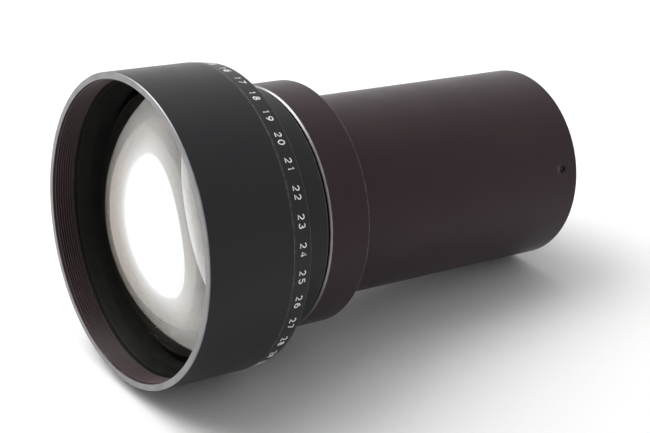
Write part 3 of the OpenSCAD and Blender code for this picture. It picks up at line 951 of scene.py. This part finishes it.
def make_neck(outside, inside):
    """Front cell: its socket in the hood, the neck that shows and the threaded spigot."""
    front, spigot_end = extent("front_cell")
    hood_end = extent("hood")[1]
    band_wall = extent("marking_ring")[1] - BAND_BACK
    neck_end = extent("seating_shim")[0]
    ring_rear = extent("doublet_retaining_ring")[1]
    plane = extent("crown_element_front")[1]
    corners = [
        (DOUBLET_RING_R, front, inside), (HOOD_SOCKET_R - FIT_GAP, front, inside),
        (HOOD_SOCKET_R - FIT_GAP, hood_end, inside), (BAND_SEAT_R - FIT_GAP, hood_end, inside),
        (BAND_SEAT_R - FIT_GAP, band_wall, inside), (NECK_R, band_wall, outside),
        (NECK_R, neck_end, outside), (SPIGOT_ROOT_R, neck_end, outside),
        (SPIGOT_ROOT_R, spigot_end, inside), (FLINT_BORE_R, spigot_end, inside),
        (FLINT_BORE_R, plane, inside), (CROWN_BORE_R, plane, inside), (CROWN_BORE_R, ring_rear, inside),
        (DOUBLET_RING_R, ring_rear, inside),
    ]
    turned_piece("neck_cell", corners, "front_unit", "satin_black", "front_cell")
    make_thread("spigot_thread", "front_unit", "satin_black", outside,
                SPIGOT_ROOT_R, SPIGOT_CREST_R, SPIGOT_PITCH, neck_end, spigot_end)


def make_ring(node, name, body, slot, finish, front_radii, rear_radii):
    """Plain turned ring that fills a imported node, given its inner and outer radius at each end."""
    front, rear = extent(node)
    corners = [
        (front_radii[0], front, finish), (front_radii[1], front, finish),
        (rear_radii[1], rear, finish), (rear_radii[0], rear, finish),
    ]
    turned_piece(name, corners, body, slot, node)


def make_inner_rings(black):
    """Rings and baffles that hold the glasses."""
    doublet_r = DOUBLET_RING_R - FIT_GAP
    bore_r = FLINT_BORE_R - FIT_GAP
    retainer_r = REAR_BORE_R - FIT_GAP
    make_ring("doublet_retaining_ring", "doublet_ring", "front_unit", "deep_black", black,
              (CROWN_BORE_R, doublet_r), (CROWN_CLEAR_R, doublet_r))
    make_ring("front_baffle", "hollow_baffle", "front_unit", "deep_black", black,
              (HOLLOW_BAFFLE_R, bore_r), ((HOLLOW_BAFFLE_R + bore_r) / 2, bore_r))
    make_ring("stop_retaining_ring", "stop_ring", "barrel", "deep_black", black,
              (STOP_LIP_R, REAR_CELL_R), (STOP_LIP_R, REAR_CELL_R))
    make_ring("rear_spacer", "glass_spacer", "barrel", "deep_black", black,
              (REAR_CLEAR_R, REAR_GLASS_R), (REAR_CLEAR_R, REAR_GLASS_R))
    make_ring("rear_retaining_ring", "rear_ring", "barrel", "deep_black", black,
              (REAR_CLEAR_R, retainer_r), ((REAR_CLEAR_R + REAR_GLASS_R) / 2, retainer_r))


def make_stop(black):
    """Fixed aperture plate with a knife edge."""
    front, rear = extent("aperture_stop")
    edge = STOP_PLATE / 3
    corners = [
        (STOP_R + STOP_PLATE - edge, front, black), (REAR_CELL_R, front, black), (REAR_CELL_R, rear, black),
        (STOP_R, rear, black), (STOP_R, rear - edge, black),
    ]
    turned_piece("stop_plate", corners, "barrel", "deep_black", "aperture_stop")


def make_rear_cell(black):
    """Tube that holds the rear glasses."""
    front, rear = extent("rear_cell")
    seat = extent("flint_element_rear")[0]
    corners = [
        (REAR_CLEAR_R, front, black), (REAR_CELL_R, front, black), (REAR_CELL_R, rear, black),
        (REAR_BORE_R, rear, black), (REAR_BORE_R, seat, black), (REAR_CLEAR_R, seat, black),
    ]
    turned_piece("rear_glass_cell", corners, "barrel", "deep_black", "rear_cell")


def make_shim(brass):
    """Shim at the bottom of the parting groove."""
    make_ring("seating_shim", "parting_shim", "barrel", "shim_brass", brass,
              (COLLAR_BORE_R, SHIM_R), (COLLAR_BORE_R, SHIM_R))


def make_collar(outside, bright, inside):
    """Seating collar, chamfered at both ends."""
    front, rear = extent("seating_collar")
    flange_end = rear - COLLAR_LIP
    land_gap_r = LAND_R + FIT_GAP
    corners = [
        (COLLAR_BORE_R, front, outside), (COLLAR_R - COLLAR_CHAMFER, front, bright),
        (COLLAR_R, front + COLLAR_CHAMFER, outside), (COLLAR_R, rear - COLLAR_REAR_CHAMFER, outside),
        (COLLAR_R - COLLAR_REAR_CHAMFER, rear, outside), (land_gap_r, rear, inside),
        (land_gap_r, flange_end, inside), (COLLAR_BORE_R, flange_end, inside),
    ]
    turned_piece("collar", corners, "barrel", "brown_black", "seating_collar")


def screw_spots():
    """Angles of the set screws and their depth behind the rim."""
    front, rear = extent("rear_baffle_ring")
    angles = [SCREW_ANGLE + k * 360.0 / SCREW_COUNT for k in range(SCREW_COUNT)]
    return angles, (front + rear) / 2


def screw_hole_rods(from_r, to_r, finish):
    """Rods that drill the screw holes between two radii."""
    angles, depth = screw_spots()
    return [
        rod_mesh(SCREW_HOLE_R, on_axis(from_r, depth, a), on_axis(to_r, depth, a), SCREW_SIDES, finish)
        for a in angles
    ]


def make_barrel(outside, inside):
    """Barrel tube with its flange, stop lip and tapped holes."""
    front, rear = extent("barrel_tube")
    shoulder = extent("seating_collar")[1]
    flange_end = shoulder - COLLAR_LIP
    land_end = shoulder - LAND_RECESS
    undercut_r = BARREL_R - UNDERCUT_DEPTH
    lip_front = extent("aperture_stop")[1]
    lip_rear = lip_front + STOP_LIP
    _, screw_depth = screw_spots()
    before_hole = screw_depth - 2 * SCREW_HOLE_R
    after_hole = screw_depth + 2 * SCREW_HOLE_R
    corners = [
        (BARREL_BORE_R, front, inside), (FLANGE_R, front, inside), (FLANGE_R, flange_end, inside),
        (LAND_R, flange_end, outside), (LAND_R, land_end, outside), (undercut_r, land_end, outside),
        (undercut_r, shoulder + UNDERCUT_W, outside), (BARREL_R, shoulder + UNDERCUT_W, outside),
        (BARREL_R, before_hole, outside), (BARREL_R, after_hole, outside),
        (BARREL_R, rear - BARREL_CHAMFER, outside), (BARREL_R - BARREL_CHAMFER, rear, outside),
        (BARREL_BORE_R + BARREL_CHAMFER, rear, inside), (BARREL_BORE_R, rear - BARREL_CHAMFER, inside),
        (BARREL_BORE_R, after_hole, inside), (BARREL_BORE_R, before_hole, inside),
        (BARREL_BORE_R, lip_rear, inside), (STOP_LIP_R, lip_rear, inside), (STOP_LIP_R, lip_front, inside),
        (BARREL_BORE_R, lip_front, inside),
    ]
    holes = screw_hole_rods(BARREL_BORE_R - DRILL_PAST, BARREL_R + DRILL_PAST, inside)
    mesh = cut_away(turned_ring("barrel_body", corners), holes)
    place_piece("barrel_body", mesh, "barrel", "brown_black", "barrel_tube")


def make_baffle_ring(black):
    """Baffle ring in the barrel's rear end, tapped for its screws."""
    front, rear = extent("rear_baffle_ring")
    ring_r = BARREL_BORE_R - FIT_GAP
    corners = [
        (BAFFLE_R, front, black), (ring_r, front, black), (ring_r, rear, black), (BAFFLE_R, rear, black),
    ]
    holes = screw_hole_rods(BAFFLE_R - DRILL_PAST, ring_r + DRILL_PAST, black)
    mesh = cut_away(turned_ring("baffle_ring", corners), holes)
    place_piece("baffle_ring", mesh, "barrel", "deep_black", "rear_baffle_ring")


def make_lock_ring(black):
    """Ring that locks the rear cell, with its two spanner slots."""
    front, rear = extent("rear_lock_ring")
    corners = [
        (REAR_GLASS_R, front, black), (REAR_CELL_R, front, black), (REAR_CELL_R, rear, black),
        (REAR_GLASS_R, rear, black),
    ]
    slot = bar_mesh(LOCK_SLOT_ANGLE, BARREL_R, (rear - SLOT_DEPTH, rear + SLOT_DEPTH), SLOT_W, black)
    mesh = cut_away(turned_ring("lock_ring", corners), [slot])
    place_piece("lock_ring", mesh, "barrel", "deep_black", "rear_lock_ring")


def make_set_screws(steel):
    """Slotted set screws, one instance each."""
    _, depth = screw_spots()
    head, tip = BARREL_R - SCREW_SINK, BAFFLE_R + FIT_GAP
    r = SCREW_HOLE_R - FIT_GAP
    body = rod_mesh(r, on_axis(tip, depth), on_axis(head, depth), SCREW_SIDES, steel)
    slot_box = [
        on_axis(head + z * SCREW_SINK, depth) + Vector((x * SCREW_HOLE_R, y * SCREW_SLOT_W / 2, 0.0)) * MM
        for z in (-1, 1) for x, y in ((-1, -1), (1, -1), (1, 1), (-1, 1))
    ]
    slot = bpy.data.meshes.new("slot")
    slot.from_pydata(slot_box, [], [[3, 2, 1, 0], [4, 5, 6, 7]] + [
        [k, (k + 1) % 4, (k + 1) % 4 + 4, k + 4] for k in range(4)
    ])
    slot.materials.append(steel)
    screw = cut_away(body, [slot])
    mesh = grown_mesh("set_screws", round_group(), {
        "Count": SCREW_COUNT, "First Angle": math.radians(SCREW_ANGLE), "Finish": steel,
    }, screw)
    place_piece("set_screws", mesh, "barrel", "screw_steel", "baffle_screws")


def background_rays(tree):
    """Output that is 1 for what is seen directly, in metal or through glass, and 0 for light."""
    path = tree.nodes.new("ShaderNodeLightPath")
    mirrored = calculate(tree, "MAXIMUM", path.outputs["Is Glossy Ray"], path.outputs["Is Transmission Ray"])
    return calculate(tree, "MAXIMUM", path.outputs["Is Camera Ray"], mirrored)


def make_table():
    """Pale table that the lens lies on, with painted shade that darkens it a little towards the camera."""
    side = TABLE_NORMAL.orthogonal().normalized()
    other = TABLE_NORMAL.cross(side)
    signs = ((-1, -1), (1, -1), (1, 1), (-1, 1))
    corners = [TABLE_POINT + (side * a + other * b) * TABLE_SIZE for a, b in signs]
    mesh = bpy.data.meshes.new("table")
    mesh.from_pydata(corners, [], [[0, 1, 2, 3]])
    if mesh.polygons[0].normal.z < 0:
        mesh.flip_normals()
    material, tree, shader = new_material("table_white")
    place = object_place(tree)
    axes = tree.nodes.new("ShaderNodeSeparateXYZ")
    feed(tree, place, axes, 0)
    # Painted shade: the floor's colour turns greyer towards the camera on the +X side, with a faint random
    # mottle in it
    slant = calculate(tree, "MULTIPLY", axes.outputs["Y"], FLOOR_SHADE_SLANT)
    near = calculate(tree, "ADD", axes.outputs["X"], slant)
    shade = spread(tree, near, FLOOR_SHADE_FROM, FLOOR_SHADE_TO, 0.0, 1.0)
    mottle = spread(tree, cloud(tree, place, 60.0), *NOISE_SPAN, 0.94, 1.0)
    mottled = calculate(tree, "MULTIPLY", shade, mottle)
    pale_with_painted_shade = blend_colours(tree, mottled, FLOOR_FAR_TONE, FLOOR_PAINTED_SHADE_TONE)
    shader.inputs["Roughness"].default_value = 0.6
    away = tree.nodes.new("ShaderNodeVectorMath")
    away.operation = "LENGTH"
    feed(tree, place, away, 0)
    far = spread(tree, away.outputs["Value"], FLOOR_WHITE_FROM, FLOOR_WHITE_TO, 0.0, 1.0)
    shader.inputs["Emission Color"].default_value = (1.0, 1.0, 1.0, 1.0)
    shown = calculate(tree, "MULTIPLY", far, background_rays(tree))
    feed(tree, blend_colours(tree, shown, pale_with_painted_shade, (0.0, 0.0, 0.0)), shader, "Base Color")
    feed(tree, shown, shader, "Emission Strength")
    table = bpy.data.objects.new("table", mesh)
    mesh.materials.append(material)
    bpy.context.scene.collection.objects.link(table)


def make_camera():
    """Camera at the photograph's place."""
    data = bpy.data.cameras.new("camera")
    data.lens = CAMERA_LENS
    data.sensor_width = SENSOR_WIDTH
    data.clip_start = 0.01
    data.clip_end = 100.0
    camera = bpy.data.objects.new("camera", data)
    back = -CAMERA_FORWARD.normalized()
    right = CAMERA_UP.cross(back).normalized()
    up = back.cross(right)
    turn = Matrix((right, up, back)).transposed().to_4x4()
    camera.matrix_world = Matrix.Translation(CAMERA_PLACE) @ turn
    bpy.context.scene.collection.objects.link(camera)
    bpy.context.scene.camera = camera


def make_softbox(name, place, size, power):
    """Large square lamp that faces the lens."""
    data = bpy.data.lights.new(name, "AREA")
    data.size = size
    data.energy = power
    lamp = bpy.data.objects.new(name, data)
    lamp.location = place
    lamp.rotation_mode = "QUATERNION"
    lamp.rotation_quaternion = place.to_track_quat("Z", "Y")
    bpy.context.scene.collection.objects.link(lamp)


def make_surroundings():
    """White room, at full strength where it is seen, also in metal and glass, and dimmer as a light."""
    world = bpy.data.worlds.new("white_room")
    bpy.context.scene.world = world
    world.use_nodes = True
    tree = world.node_tree
    background = tree.nodes["Background"]
    level = spread(tree, background_rays(tree), 0.0, 1.0, ROOM_LEVEL, 1.0)
    feed(tree, level, background, "Strength")
    background.inputs["Color"].default_value = (1.0, 1.0, 1.0, 1.0)


hood_black = hood_anodising()
brown_black = brown_anodising()
band_black = band_anodising()
thread_brown = thread_anodising()
bright_rim = rim_face()
inner_black = matt_black()
smooth_black = ring_black()
dark_brass = blackened_brass()
dark_steel = screw_steel()
white_paint = number_paint()
front_lens_glass = lens_glass("front_lens_glass", FRONT_INDEX, 0.0)
crown_glass = lens_glass("crown_glass", INNER_INDEX, INNER_SMEAR)
flint_glass = lens_glass("flint_glass", INNER_INDEX, INNER_SMEAR)
black_edge = edge_paint()
clear_cement = lens_cement()
thread_turns = thread_group()

make_camera()
make_table()
make_surroundings()
for lamp_values in LAMPS:
    make_softbox(*lamp_values)

make_hood(hood_black, bright_rim, thread_brown, inner_black)
make_thread("hood_thread", "front_unit", "satin_black", thread_brown, THREAD_ROOT_R, THREAD_CREST_R,
            THREAD_PITCH, extent("hood")[0] + THREAD_START, extent("front_retaining_ring")[0] - RELIEF_W)
make_front_ring(smooth_black, inner_black)
make_front_glass(front_lens_glass, black_edge)
make_front_doublet(crown_glass, flint_glass, black_edge, clear_cement)
make_band(band_black)
make_band_numbers(white_paint)
make_neck(hood_black, inner_black)
make_inner_rings(inner_black)
make_shim(dark_brass)
make_collar(brown_black, bright_rim, inner_black)
make_barrel(brown_black, inner_black)
make_stop(inner_black)
make_rear_cell(inner_black)
make_rear_doublet(crown_glass, flint_glass, black_edge, clear_cement)
make_rear_glass(crown_glass, black_edge)
make_lock_ring(inner_black)
make_baffle_ring(inner_black)
make_set_screws(dark_steel)

scene = bpy.context.scene
scene.view_settings.view_transform = "Standard"
